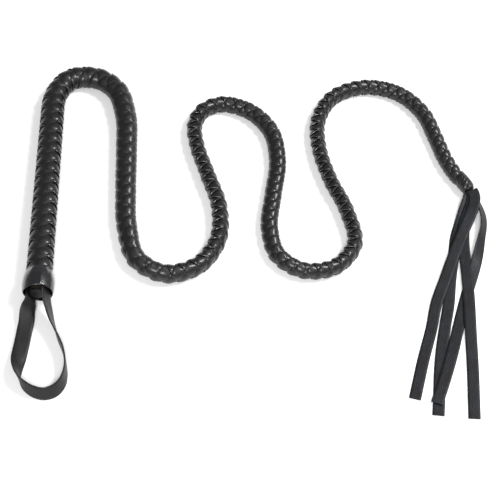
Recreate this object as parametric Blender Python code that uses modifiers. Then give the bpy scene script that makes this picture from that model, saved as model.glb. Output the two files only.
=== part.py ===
"""Plaited leather riding whip, lying in a loose S on a flat surface.

A stiff handle with a wrist loop and a butt cap, a tapering plaited thong that
flexes at five places, and four flat tails beyond the tip knot.
Units are metres, +Z is up, and the surface that it lies on is z = 0.
The origin is on that surface, under the middle of the handle with its loop.
"""

import math

import bmesh
import bpy
import numpy as np
from mathutils import Matrix, Vector

# --- clearances -------------------------------------------------------------
GAP = 0.0003  # between pieces that touch
CORE_GAP = 0.0005  # round the filler core, which bends with its cover
FLEX_CUT = 0.0013  # the plait stops this far short of each flex point
HANDLE_CUT = 0.0026  # more for the handle's, as the thong turns right straight away

# --- handle -----------------------------------------------------------------
HANDLE_LENGTH = 0.236  # dowel, butt face to thong end
DOWEL_RADIUS = 0.0080
NECK_RADIUS = 0.0072  # dowel, under the splice binding
NECK_LENGTH = 0.038
SOCKET_RADIUS = 0.0046
SOCKET_DEPTH = 0.025
BINDING_THICKNESS = 0.0005
HANDLE_PLAIT_RADIUS = 0.0118  # outside, at the cap
COVER_THICKNESS = 0.0030  # two crossing strips of leather

# --- butt cap, strap ends and their fixings ----------------------------------
CAP_LENGTH = 0.0270
CAP_MOUTH_WALL = 0.0016
CAP_MOUTH_FLARE = 0.0003  # how much the mouth opens beyond the belly
CAP_NECK_WALL = 0.0012
PLAIT_START = 0.0235  # where the plait goes in under the cap
STRAP_WIDTH = 0.0155
STRAP_THICKNESS = 0.0016
STRAP_ROLL = math.radians(28)  # how far the strap's ends are turned round the dowel
STRAP_HELD = 0.0200  # length of each strap end inside the cap
STRAP_PROUD = 0.0030  # how far each held end stands out of the cap
TACK_AT = 0.0045
TACK_HEAD_RADIUS = 0.0022
TACK_HEAD = 0.0007
TACK_SHANK_RADIUS = 0.0006
TACK_LENGTH = 0.0060
BUTT_BINDING_AT = (0.0090, 0.0170)
BUTT_BINDING_WALL = 0.0007
PLUG_RADIUS = 0.0078
PLUG_THICKNESS = 0.0025

# --- wrist loop -----------------------------------------------------------------
# the strap's middle line, its x and y from the middle of the butt face, and its lean
# in degrees from standing on edge, inner face up when negative
LOOP_ROUTE = (
    (-0.0072, -0.0075, 0.0118, -28),
    (-0.0095, -0.0150, 0.0078, -48),
    (-0.0108, -0.0270, 0.0046, -66),
    (-0.0128, -0.0390, 0.0036, -70),
    (-0.0146, -0.0520, 0.0036, -70),
    (-0.0164, -0.0660, 0.0044, -62),
    (-0.0172, -0.0790, 0.0064, -38),
    (-0.0150, -0.0910, 0.0079, -8),
    (-0.0088, -0.1005, 0.0079, 12),
    (0.0010, -0.1080, 0.0076, 20),
    (0.0110, -0.1102, 0.0075, 22),
    (0.0205, -0.1070, 0.0075, 24),
    (0.0272, -0.0990, 0.0077, 18),
    (0.0300, -0.0880, 0.0079, 8),
    (0.0296, -0.0760, 0.0080, 0),
    (0.0262, -0.0610, 0.0080, -3),
    (0.0200, -0.0460, 0.0082, 0),
    (0.0138, -0.0320, 0.0096, 14),
    (0.0102, -0.0190, 0.0142, 24),
    (0.0082, -0.0075, 0.0186, 28),
)
LOOP_POINTS = 46

# --- thong ------------------------------------------------------------------
# the middle line on the surface, from the handle's end to the tip knot
THONG_ROUTE = (
    (-0.004, 0.17),
    (-0.0019, 0.1914),
    (0.0115, 0.2134),
    (0.0428, 0.2156),
    (0.0632, 0.2),
    (0.0748, 0.166),
    (0.0777, 0.115),
    (0.0785, 0.065),
    (0.0815, 0.0145),
    (0.0928, -0.0238),
    (0.122, -0.0413),
    (0.1543, -0.0317),
    (0.1738, -0.0034),
    (0.1762, 0.041),
    (0.164, 0.084),
    (0.152, 0.1265),
    (0.15, 0.1495),
    (0.1585, 0.1697),
    (0.1771, 0.1788),
    (0.2058, 0.1712),
    (0.2304, 0.1445),
    (0.2384, 0.101),
    (0.2328, 0.057),
    (0.228, 0.012),
    (0.2356, -0.0198),
    (0.2612, -0.0387),
    (0.293, -0.0347),
    (0.3136, -0.0102),
    (0.3087, 0.034),
    (0.293, 0.076),
    (0.283, 0.12),
    (0.2836, 0.154),
    (0.301, 0.187),
    (0.3364, 0.2013),
    (0.3727, 0.192),
    (0.3967, 0.166),
    (0.409, 0.129),
    (0.417, 0.1),
    (0.4245, 0.0825),
    (0.43, 0.0735),
)
RING_SPACING = 0.060  # longest straight between rings
RING_TURN = math.radians(24)  # most that the thong turns between rings
TUBE_SIDES = 8
END_STUB = 0.002  # the short straight at each end of a length
# outside diameter of the plait at these distances from the handle's end
THONG_TAPER = (
    (0.00, 0.0220),
    (0.07, 0.0206),
    (0.20, 0.0192),
    (0.30, 0.0180),
    (0.40, 0.0166),
    (0.55, 0.0152),
    (1.15, 0.0146),
    (1.40, 0.0132),
)
# distances along the thong where it flexes: at the handle, then at each bend
FLEX_AT = (0.010, 0.373, 0.645, 0.916, 1.221)
THONG_LENGTH = 1.3883  # to the tip knot

# --- tip knot and tails -----------------------------------------------------
KNOT_LENGTH = 0.0155
KNOT_RADIUS = 0.0077
KNOT_BORE_RADIUS = 0.0051
TAIL_WIDTH = 0.0110
TAIL_THICKNESS = 0.0014
TAIL_POINTS = 28
# each tail's middle line, from the knot to its cut end
TAIL_ROUTES = {
    "tail_a": (
        (0.4405, 0.0569, 0.0104),
        (0.4424, 0.0505, 0.0100),
        (0.4400, 0.0370, 0.0090),
        (0.4340, 0.0220, 0.0074),
        (0.4265, 0.0060, 0.0058),
        (0.4190, -0.0110, 0.0048),
        (0.4110, -0.0300, 0.0036),
        (0.4035, -0.0490, 0.0030),
        (0.3965, -0.0660, 0.0026),
        (0.3935, -0.0740, 0.0024),
        (0.3905, -0.0840, 0.0014),
        (0.3865, -0.1010, 0.0007),
        (0.3750, -0.1390, 0.0007),
        (0.3630, -0.1830, 0.0007),
    ),
    "tail_b": (
        (0.4393, 0.0588, 0.0068),
        (0.4390, 0.0495, 0.0060),
        (0.4330, 0.0370, 0.0038),
        (0.4255, 0.0210, 0.0016),
        (0.4200, 0.0050, 0.0007),
        (0.4155, -0.0180, 0.0007),
        (0.4095, -0.0480, 0.0007),
        (0.4048, -0.0780, 0.0007),
        (0.3995, -0.1010, 0.0007),
        (0.3935, -0.1290, 0.0007),
        (0.3840, -0.2010, 0.0007),
    ),
    "tail_c": (
        (0.4393, 0.0588, 0.0050),
        (0.4440, 0.0500, 0.0040),
        (0.4478, 0.0400, 0.0026),
        (0.4500, 0.0270, 0.0012),
        (0.4490, 0.0150, 0.0007),
        (0.4445, -0.0030, 0.0007),
        (0.4395, -0.0210, 0.0007),
        (0.4340, -0.0380, 0.0007),
        (0.4265, -0.0590, 0.0007),
        (0.4131, -0.1010, 0.0007),
        (0.4085, -0.1165, 0.0016),
        (0.4050, -0.1285, 0.0026),
        (0.3930, -0.1640, 0.0026),
        (0.3835, -0.1890, 0.0026),
    ),
    "tail_d": (
        (0.4405, 0.0569, 0.0086),
        (0.4405, 0.0490, 0.0079),
        (0.4360, 0.0350, 0.0062),
        (0.4300, 0.0190, 0.0044),
        (0.4275, 0.0030, 0.0030),
        (0.4265, -0.0150, 0.0025),
        (0.4263, -0.0430, 0.0025),
        (0.4255, -0.0750, 0.0025),
        (0.4241, -0.1010, 0.0025),
        (0.4237, -0.1090, 0.0021),
        (0.4231, -0.1240, 0.0011),
        (0.4225, -0.1380, 0.0007),
        (0.4180, -0.2050, 0.0007),
    ),
}

# --- worked out from the values above -----------------------------------------
STRAP_OFFSET = DOWEL_RADIUS + GAP + STRAP_THICKNESS / 2
STRAP_CORNER = math.hypot(STRAP_OFFSET + STRAP_THICKNESS / 2, STRAP_WIDTH / 2)
BUTT_BINDING_RADIUS = STRAP_CORNER + GAP + BUTT_BINDING_WALL
CAP_BELLY_INNER = BUTT_BINDING_RADIUS + GAP
CAP_MOUTH_INNER = CAP_BELLY_INNER + CAP_MOUTH_FLARE
CAP_MOUTH_RADIUS = CAP_MOUTH_INNER + CAP_MOUTH_WALL
THONG_START_RADIUS = THONG_TAPER[0][1] / 2
# the handle lies on its cap's rim and on the thong, so it slopes a little
SLOPE = math.asin(
    (CAP_MOUTH_RADIUS - THONG_START_RADIUS) / (HANDLE_LENGTH + FLEX_AT[0])
)
# the handle runs back along -Y from where the thong starts
HANDLE_X = THONG_ROUTE[0][0]
BUTT_Y = THONG_ROUTE[0][1] - HANDLE_LENGTH * math.cos(SLOPE)
JOINTS_AT = (*FLEX_AT, THONG_LENGTH)
CORNER_SHARE = math.cos(math.pi / TUBE_SIDES)  # a tube's flats lie this much nearer


def clear_scene():
    """Start from an empty file."""
    for old in list(bpy.data.objects):
        bpy.data.objects.remove(old, do_unlink=True)


def new_collection(name):
    """A collection linked to the scene."""
    collection = bpy.data.collections.new(name)
    bpy.context.scene.collection.children.link(collection)
    return collection


def leather(name, colour, roughness, metallic=0.0):
    """A Principled material."""
    made = bpy.data.materials.new(name)
    made.use_nodes = True
    shader = made.node_tree.nodes["Principled BSDF"]
    shader.inputs["Base Color"].default_value = (*colour, 1.0)
    shader.inputs["Roughness"].default_value = roughness
    shader.inputs["Metallic"].default_value = metallic
    return made


def keep(piece, finish, parent=None):
    """Put a piece in the object's collection, with a material of its own."""
    for holder in list(piece.users_collection):
        holder.objects.unlink(piece)
    PARTS.objects.link(piece)
    piece.data.materials.clear()
    piece.data.materials.append(leather(piece.name, *FINISHES[finish]))
    if parent is not None:
        piece.parent = parent
    return piece


def turned(name, profile, finish, parent=None, ring=False, segments=20):
    """A shape turned about local Z; the profile runs down its outer side.

    A ring's profile comes back up inside and closes on itself.
    """
    mesh = bpy.data.meshes.new(name)
    edges = [(i, i + 1) for i in range(len(profile) - 1)]
    if ring:
        edges.append((len(profile) - 1, 0))
    mesh.from_pydata([(r, 0.0, z) for r, z in profile], edges, [])
    piece = bpy.data.objects.new(name, mesh)
    screw = piece.modifiers.new("turn", "SCREW")
    screw.steps = screw.render_steps = segments
    screw.use_merge_vertices = True
    screw.merge_threshold = 0.00001
    screw.use_normal_calculate = False
    return keep(piece, finish, parent)


def smooth_curve(points, count, start_heading=None):
    """Evenly spaced points on a smooth curve through the given ones.

    Cubic pieces between neighbours, with slopes taken over the chord lengths.
    """
    given = np.array(points, float)
    chord = np.linalg.norm(np.diff(given[:, :3], axis=0), axis=1)
    at = np.concatenate(([0.0], np.cumsum(chord)))
    slope = np.gradient(given, at, axis=0)
    if start_heading is not None:
        slope[0] = start_heading
    fine = []
    for i, length in enumerate(chord):
        for t in np.linspace(0.0, 1.0, 24, endpoint=False):
            fine.append(
                (2 * t**3 - 3 * t**2 + 1) * given[i]
                + (t**3 - 2 * t**2 + t) * length * slope[i]
                + (3 * t**2 - 2 * t**3) * given[i + 1]
                + (t**3 - t**2) * length * slope[i + 1]
            )
    fine.append(given[-1])
    fine = np.array(fine)
    run = np.linalg.norm(np.diff(fine[:, :3], axis=0), axis=1)
    along = np.concatenate(([0.0], np.cumsum(run)))
    if np.isscalar(count):
        count = np.linspace(0.0, along[-1], count)
    return np.column_stack([np.interp(count, along, column) for column in fine.T])


def tube_curve(name, points, radii, caps):
    """A tube of changing radius along the points, as a curve object."""
    curve = bpy.data.curves.new(name, "CURVE")
    curve.dimensions = "3D"
    curve.twist_mode = "Z_UP"
    curve.bevel_depth = 1.0
    curve.bevel_resolution = TUBE_SIDES // 2 - 2
    curve.use_fill_caps = caps
    spline = curve.splines.new("POLY")
    spline.points.add(len(points) - 1)
    for target, point, radius in zip(spline.points, points, radii):
        target.co = (*point, 1.0)
        target.radius = radius
    return bpy.data.objects.new(name, curve)


def as_mesh(curve_object):
    """The curve's evaluated shape as a mesh object, with its loose caps welded."""
    bpy.context.scene.collection.objects.link(curve_object)
    bpy.context.view_layer.update()
    evaluated = curve_object.evaluated_get(bpy.context.evaluated_depsgraph_get())
    mesh = bpy.data.meshes.new_from_object(evaluated)
    shape = bmesh.new()
    shape.from_mesh(mesh)
    bmesh.ops.remove_doubles(shape, verts=shape.verts, dist=0.00001)
    shape.to_mesh(mesh)
    shape.free()
    name = curve_object.name
    bpy.data.objects.remove(curve_object, do_unlink=True)
    return bpy.data.objects.new(name, mesh)


def solidify(piece, thickness, offset):
    """Give an open surface its thickness."""
    wall = piece.modifiers.new("wall", "SOLIDIFY")
    wall.thickness = thickness
    wall.offset = offset
    wall.use_even_offset = True
    return piece


def strap_solid(name, route, width, thickness, finish):
    """A flat strap along a route of (x, y, z, lean in radians from standing on edge)."""
    curve = bpy.data.curves.new(name, "CURVE")
    curve.dimensions = "3D"
    curve.twist_mode = "Z_UP"
    curve.extrude = width / 2
    spline = curve.splines.new("POLY")
    spline.points.add(len(route) - 1)
    for target, (x, y, z, lean) in zip(spline.points, route):
        target.co = (x, y, z, 1.0)
        target.tilt = lean
    return keep(solidify(as_mesh(bpy.data.objects.new(name, curve)), thickness, 0.0), finish)


def drill(piece, cutter):
    """Cut a hole, and keep the cutter out of the model."""
    for holder in list(cutter.users_collection):
        holder.objects.unlink(cutter)
    CUTTERS.objects.link(cutter)
    cutter.hide_render = True
    cutter.display_type = "WIRE"
    cut = piece.modifiers.new("hole", "BOOLEAN")
    cut.operation = "DIFFERENCE"
    cut.object = cutter


# --- handle -----------------------------------------------------------------
def handle_frame():
    """An empty at the butt face whose local Z runs up the sloping handle."""
    frame = bpy.data.objects.new("handle_frame", None)
    PARTS.objects.link(frame)
    frame.location = (HANDLE_X, BUTT_Y, CAP_MOUTH_RADIUS)
    frame.rotation_euler = (-math.pi / 2 - SLOPE, 0.0, 0.0)
    return frame


def side_frame(parent, side):
    """An empty on the handle's axis whose local X points out through one strap end."""
    frame = bpy.data.objects.new(f"strap_side_{side}", None)
    PARTS.objects.link(frame)
    frame.parent = parent
    turn = -STRAP_ROLL if side == "right" else math.pi - STRAP_ROLL
    frame.rotation_euler = (0.0, 0.0, turn)
    return frame


def build_dowel(frame, sides):
    """The stiff wooden rod, with a socket for the thong's core and two tack holes."""
    neck_start = HANDLE_LENGTH - NECK_LENGTH
    dowel = turned(
        "handle_dowel",
        [
            (0.0, HANDLE_LENGTH - SOCKET_DEPTH),
            (SOCKET_RADIUS, HANDLE_LENGTH - SOCKET_DEPTH),
            (SOCKET_RADIUS, HANDLE_LENGTH),
            (NECK_RADIUS, HANDLE_LENGTH),
            (NECK_RADIUS, neck_start),
            (DOWEL_RADIUS, neck_start - 0.001),
            (DOWEL_RADIUS, 0.0),
            (0.0, 0.0),
        ],
        "wood",
        frame,
    )
    for side in sides:
        drill(dowel, tack_hole(side))
    return dowel


def tack_hole(side):
    """A cutter for one tack's hole through a strap end and into the dowel."""
    reach = STRAP_OFFSET + STRAP_THICKNESS
    bpy.ops.mesh.primitive_cylinder_add(
        vertices=12, radius=TACK_SHANK_RADIUS + GAP, depth=TACK_LENGTH + GAP * 2
    )
    cutter = bpy.context.object
    cutter.name = "tack_hole"
    cutter.parent = side
    middle = reach - (TACK_LENGTH + GAP) / 2
    cutter.location = (middle, 0.0, TACK_AT)
    cutter.rotation_euler = (0.0, math.pi / 2, 0.0)
    return cutter


def build_strap_end(side_name, side):
    """The end of the wrist strap that the cap holds against the dowel."""
    bpy.ops.mesh.primitive_cube_add(size=1.0)
    piece = bpy.context.object
    piece.name = f"strap_end_{side_name}"
    length = STRAP_HELD + STRAP_PROUD
    piece.data.transform(Matrix.Diagonal((STRAP_THICKNESS, STRAP_WIDTH, length, 1.0)))
    keep(piece, "strap", side)
    piece.location = (STRAP_OFFSET, 0.0, (STRAP_HELD - STRAP_PROUD) / 2)
    drill(piece, tack_hole(side))


def build_tack(side_name, side):
    """The tack that pins a strap end to the dowel."""
    tack = turned(
        f"strap_tack_{side_name}",
        [
            (0.0, TACK_HEAD),
            (TACK_HEAD_RADIUS * 0.7, TACK_HEAD),
            (TACK_HEAD_RADIUS, TACK_HEAD * 0.4),
            (TACK_HEAD_RADIUS, 0.0),
            (TACK_SHANK_RADIUS, 0.0),
            (TACK_SHANK_RADIUS, -TACK_LENGTH * 0.7),
            (0.0, -TACK_LENGTH * 0.95),
        ],
        "steel",
        side,
        segments=12,
    )
    tack.location = (STRAP_OFFSET + STRAP_THICKNESS / 2 + GAP, 0.0, TACK_AT)
    tack.rotation_euler = (0.0, math.pi / 2, 0.0)


def build_butt(frame):
    """The thread whipping over the strap ends, the end plug and the leather cap."""
    low, high = BUTT_BINDING_AT
    outer, inner = BUTT_BINDING_RADIUS, STRAP_CORNER + GAP
    turned(
        "butt_binding",
        [(outer, high), (outer, low), (inner, low), (inner, high)],
        "thread",
        frame,
        ring=True,
    )
    turned(
        "butt_plug",
        [
            (0.0, -GAP),
            (PLUG_RADIUS, -GAP),
            (PLUG_RADIUS, -PLUG_THICKNESS * 0.8),
            (PLUG_RADIUS * 0.92, -PLUG_THICKNESS),
            (0.0, -PLUG_THICKNESS),
        ],
        "strap",
        frame,
    )
    neck = HANDLE_PLAIT_RADIUS + GAP
    belly, mouth = CAP_BELLY_INNER, CAP_MOUTH_INNER
    turned(
        "butt_cap",
        [
            (neck, CAP_LENGTH),
            (neck + CAP_NECK_WALL, CAP_LENGTH - 0.0005),
            (belly + CAP_NECK_WALL, high + 0.002),
            (mouth + CAP_MOUTH_WALL * 0.9, 0.008),
            (mouth + CAP_MOUTH_WALL, 0.001),
            (mouth + CAP_MOUTH_WALL * 0.7, -0.001),
            (mouth, -0.001),
            (mouth, 0.008),
            (belly, high + 0.001),
            (neck, PLAIT_START - GAP),
        ],
        "cap",
        frame,
        ring=True,
        segments=28,
    )


def build_splice(frame):
    """The root of the thong's core in the dowel's socket, and the binding round it."""
    root_end = FLEX_AT[0] - GAP / 2
    radius = core_radius(0.0)
    top = HANDLE_LENGTH + root_end
    turned(
        "core_root",
        [
            (0.0, top),
            (radius * 0.6, top - radius * 0.2),
            (radius * 0.87, top - radius * 0.5),
            (radius, top - radius),
            (radius, HANDLE_LENGTH + GAP),
            (SOCKET_RADIUS - GAP, HANDLE_LENGTH + GAP),
            (SOCKET_RADIUS - GAP, HANDLE_LENGTH - SOCKET_DEPTH + GAP),
            (0.0, HANDLE_LENGTH - SOCKET_DEPTH + GAP),
        ],
        "core",
        frame,
    )
    inner = NECK_RADIUS + GAP
    outer = inner + BINDING_THICKNESS
    low, high = HANDLE_LENGTH - NECK_LENGTH + 0.002, HANDLE_LENGTH - 0.002
    turned(
        "splice_binding",
        [(outer, high), (outer, low), (inner, low), (inner, high)],
        "thread",
        frame,
        ring=True,
    )


def build_handle_plait(frame):
    """The plaited cover over the dowel, up to the first flex point."""
    top = HANDLE_LENGTH + FLEX_AT[0] - HANDLE_CUT
    inner = DOWEL_RADIUS + GAP
    turned(
        "handle_plait",
        [
            (THONG_START_RADIUS, top),
            (HANDLE_PLAIT_RADIUS, PLAIT_START),
            (inner, PLAIT_START),
            (inner, top),
        ],
        "plait",
        frame,
        ring=True,
    )


# --- thong ------------------------------------------------------------------
def plait_radius(distance):
    """Outside radius of the plait at a distance from the handle's end."""
    at, wide = zip(*THONG_TAPER)
    return float(np.interp(distance, at, wide)) / 2


def core_radius(distance):
    """Radius, at its corners, of the filler core inside the plait."""
    return plait_radius(distance) - (COVER_THICKNESS + CORE_GAP) / CORNER_SHARE


def thong_places(distances):
    """Points on the thong's middle line, which lies its own radius above the surface."""
    flat = smooth_curve(THONG_ROUTE, distances, start_heading=(0.0, 1.0))
    return [(x, y, plait_radius(s)) for (x, y), s in zip(flat[:, :2], distances)]


def shared_rings(start, end, dome):
    """Distances where core and cover both have a ring, so that their sides stay parallel.

    The rings stand closer where the thong bends than where it runs straight.
    """
    fine = np.linspace(start + dome, end - dome, 400)
    x, y = smooth_curve(THONG_ROUTE, fine, start_heading=(0.0, 1.0)).T
    turn = np.abs(np.diff(np.unwrap(np.arctan2(np.diff(y), np.diff(x)))))
    share = np.diff(fine)[1:] / RING_SPACING + turn / RING_TURN
    count = np.concatenate(([0.0, 0.0], np.cumsum(share)))
    return list(np.interp(np.linspace(0.0, count[-1], math.ceil(count[-1]) + 1), count, fine))


def build_core(number, start, end, rings):
    """A filler core with a rounded end at each flex point."""
    start, end = start + GAP / 2, end - GAP / 2
    head, foot = rings[0] - start, end - rings[-1]
    dome = ((0.0, 0.25), (0.2, 0.6), (0.5, 0.87))
    before = [(start + a * head, core_radius(start) * k) for a, k in dome]
    middle = [(s, core_radius(s)) for s in rings]
    after = [(end - a * foot, core_radius(end) * k) for a, k in reversed(dome)]
    distances, radii = zip(*before, *middle, *after)
    core = tube_curve(f"thong_core_{number}", thong_places(distances), radii, True)
    keep(core, "core")


def build_cover(number, start, end, rings):
    """The plaited cover, cut square a little short of each flex point."""
    start, end = start + FLEX_CUT, end - FLEX_CUT
    distances = [start, start + END_STUB, *rings, end - END_STUB, end]
    radii = [plait_radius(s) for s in distances]
    name = f"thong_plait_{number}"
    cover = as_mesh(tube_curve(name, thong_places(distances), radii, False))
    keep(solidify(cover, COVER_THICKNESS, -1.0), "plait")


def build_thong():
    """Each flex length: a round filler core inside a plaited cover."""
    for number, (start, end) in enumerate(zip(JOINTS_AT, JOINTS_AT[1:]), 1):
        dome = max(core_radius(start), FLEX_CUT + 2 * END_STUB)
        rings = shared_rings(start, end, dome)
        build_core(number, start, end, rings)
        build_cover(number, start, end, rings)


# --- tip knot, tails and wrist loop ---------------------------------------------
def thong_end():
    """Where the thong ends, and its level heading there."""
    before, tip = thong_places([THONG_LENGTH - END_STUB, THONG_LENGTH])
    return tip, Vector((tip[0] - before[0], tip[1] - before[1], 0.0)).normalized()


def build_knot():
    """The wrapped knot beyond the last flex point, and the strips' bundle in it."""
    tip, heading = thong_end()
    frame = bpy.data.objects.new("knot_frame", None)
    PARTS.objects.link(frame)
    frame.location = (tip[0], tip[1], KNOT_RADIUS)
    frame.rotation_euler = heading.to_track_quat("Z", "Y").to_euler()
    top, low = KNOT_LENGTH + FLEX_CUT * 2, FLEX_CUT * 2
    turned(
        "tip_knot",
        [
            (KNOT_BORE_RADIUS, top),
            (KNOT_RADIUS * 0.8, top),
            (KNOT_RADIUS, top - 0.004),
            (KNOT_RADIUS, low + 0.004),
            (KNOT_RADIUS * 0.85, low),
            (KNOT_BORE_RADIUS, low),
        ],
        "plait",
        frame,
        ring=True,
    )
    bundle = KNOT_BORE_RADIUS - GAP
    turned(
        "strip_bundle",
        [
            (0.0, top),
            (bundle, top),
            (bundle, bundle + GAP),
            (bundle * 0.87, bundle * 0.5 + GAP),
            (bundle * 0.6, bundle * 0.2 + GAP),
            (0.0, GAP),
        ],
        "strap",
        frame,
    )


def squared(line, heading):
    """The line with a short straight at its start, so that this end is cut square."""
    step = np.zeros(line.shape[1])
    step[:3] = heading
    return np.insert(line, 1, line[0] + END_STUB * step, axis=0)


def build_tails():
    """The four flat tails, each the free end of one plaited strip."""
    flat = math.pi / 2
    _, heading = thong_end()
    for name, route in TAIL_ROUTES.items():
        line = squared(smooth_curve(route, TAIL_POINTS, start_heading=heading), heading)
        line[:, 2] = np.maximum(line[:, 2], TAIL_THICKNESS / 2)
        strap_solid(
            name, [(*p, flat) for p in line], TAIL_WIDTH, TAIL_THICKNESS, "strap"
        )


def build_wrist_loop():
    """The free part of the wrist strap, bent round into a loop."""
    out_of_cap = (0.0, -1.0, 0.0)
    line = squared(smooth_curve(LOOP_ROUTE, LOOP_POINTS), out_of_cap)
    line = squared(line[::-1], out_of_cap)[::-1]
    route = []
    for x, y, z, degrees in line:
        lean = math.radians(degrees)
        half_height = (
            STRAP_WIDTH * math.cos(lean) + STRAP_THICKNESS * abs(math.sin(lean))
        ) / 2
        route.append((HANDLE_X + x, BUTT_Y + y, max(z, half_height), lean))
    strap_solid("wrist_strap", route, STRAP_WIDTH, STRAP_THICKNESS, "strap")


FINISHES = {
    "plait": ((0.022, 0.022, 0.023), 0.42),
    "strap": ((0.030, 0.031, 0.034), 0.50),
    "cap": ((0.012, 0.012, 0.014), 0.22),
    "core": ((0.20, 0.19, 0.17), 0.85),
    "wood": ((0.45, 0.30, 0.17), 0.60),
    "thread": ((0.05, 0.05, 0.05), 0.80),
    "steel": ((0.55, 0.55, 0.57), 0.30, 1.0),
}

clear_scene()
PARTS = new_collection("riding_crop")
CUTTERS = new_collection("cutters")
handle = handle_frame()
strap_sides = {name: side_frame(handle, name) for name in ("left", "right")}
build_dowel(handle, strap_sides.values())
for side_label, side_empty in strap_sides.items():
    build_strap_end(side_label, side_empty)
    build_tack(side_label, side_empty)
build_butt(handle)
build_splice(handle)
build_handle_plait(handle)
build_thong()
build_knot()
build_tails()
build_wrist_loop()
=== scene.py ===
import logging
import math
from dataclasses import dataclass
from enum import Enum

import bmesh
import bpy
import numpy as np
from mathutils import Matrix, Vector


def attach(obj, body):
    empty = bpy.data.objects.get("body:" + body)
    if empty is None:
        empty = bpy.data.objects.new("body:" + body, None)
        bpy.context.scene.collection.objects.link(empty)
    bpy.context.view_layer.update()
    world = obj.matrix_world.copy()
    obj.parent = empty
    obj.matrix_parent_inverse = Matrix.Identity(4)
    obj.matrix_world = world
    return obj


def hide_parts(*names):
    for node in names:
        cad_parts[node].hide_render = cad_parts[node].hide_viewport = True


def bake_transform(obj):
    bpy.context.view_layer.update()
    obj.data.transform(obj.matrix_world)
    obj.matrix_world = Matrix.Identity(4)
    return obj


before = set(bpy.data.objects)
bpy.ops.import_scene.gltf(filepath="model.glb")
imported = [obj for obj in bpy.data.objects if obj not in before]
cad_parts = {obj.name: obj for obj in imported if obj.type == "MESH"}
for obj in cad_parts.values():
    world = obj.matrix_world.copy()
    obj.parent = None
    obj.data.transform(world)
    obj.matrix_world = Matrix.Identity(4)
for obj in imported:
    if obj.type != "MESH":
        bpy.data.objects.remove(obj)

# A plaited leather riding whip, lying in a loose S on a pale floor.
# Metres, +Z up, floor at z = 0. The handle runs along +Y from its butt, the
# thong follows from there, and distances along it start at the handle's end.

log = logging.getLogger("riding_whip")
MM = 0.001
ABOVE_FLOOR = 0.0001  # the lowest point of what lies on the floor
COVER_END = -0.010  # where the handle's cover ends and the thong's first stretch begins


# --- colour and nodes ---
def linear(hex_colour: str) -> tuple[float, float, float, float]:
    """Turn an sRGB hex colour into linear light.

    Args:
        hex_colour: Six hex digits, such as "1a1b1d".

    Returns:
        Red, green, blue and an alpha of one.
    """
    channels = [int(hex_colour[i : i + 2], 16) / 255 for i in (0, 2, 4)]
    light = [c / 12.92 if c <= 0.04045 else ((c + 0.055) / 1.055) ** 2.4 for c in channels]
    return (*light, 1.0)


def node(
    tree: bpy.types.NodeTree, kind: str, settings: dict | None = None, links: dict | None = None
) -> bpy.types.Node:
    """Add one shader node.

    Args:
        tree: The material's node tree.
        kind: The node's type, such as "ShaderNodeBump".
        settings: Values for its sockets or, where no socket has the name, its properties.
        links: Output sockets to join to its named or numbered inputs.

    Returns:
        The new node.
    """
    made = tree.nodes.new(kind)
    for name, value in (settings or {}).items():
        if name in made.inputs:
            made.inputs[name].default_value = value
        else:
            setattr(made, name, value)
    for name, source in (links or {}).items():
        tree.links.new(source, made.inputs[name])
    return made


def blank_material(name: str) -> tuple[bpy.types.Material, bpy.types.NodeTree, bpy.types.Node]:
    """Make a material with only its Principled shader.

    Args:
        name: The material's name.

    Returns:
        The material, its node tree and the shader node.
    """
    material = bpy.data.materials.new(name)
    material.use_nodes = True
    tree = material.node_tree
    return material, tree, tree.nodes["Principled BSDF"]


def noise(
    tree: bpy.types.NodeTree, place: bpy.types.NodeSocket, size_mm: float, **settings: float
) -> bpy.types.NodeSocket:
    """Soft noise whose blotches are about size_mm across.

    Args:
        tree: The material's node tree.
        place: The coordinates.
        size_mm: The size.
        settings: Further values for its sockets.

    Returns:
        The socket that gives it, from 0 to 1.
    """
    values = {"Scale": 1 / (size_mm * MM), **settings}
    return node(tree, "ShaderNodeTexNoise", values, {"Vector": place}).outputs["Fac"]


def tint(
    tree: bpy.types.NodeTree, shader: bpy.types.Node, share: bpy.types.NodeSocket, low: str, high: str
) -> None:
    """Colour a shader between two hex colours.

    Args:
        tree: The material's node tree.
        shader: The shader to colour.
        share: 0 where the low colour shows and 1 where the high one does.
        low: The first colour.
        high: The second colour.
    """
    mix = node(tree, "ShaderNodeMix", {"data_type": "RGBA"}, {"Factor": share})
    mix.inputs[6].default_value = linear(low)  # sockets A, B and Result of the colour mix
    mix.inputs[7].default_value = linear(high)
    tree.links.new(mix.outputs[2], shader.inputs["Base Color"])


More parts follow.
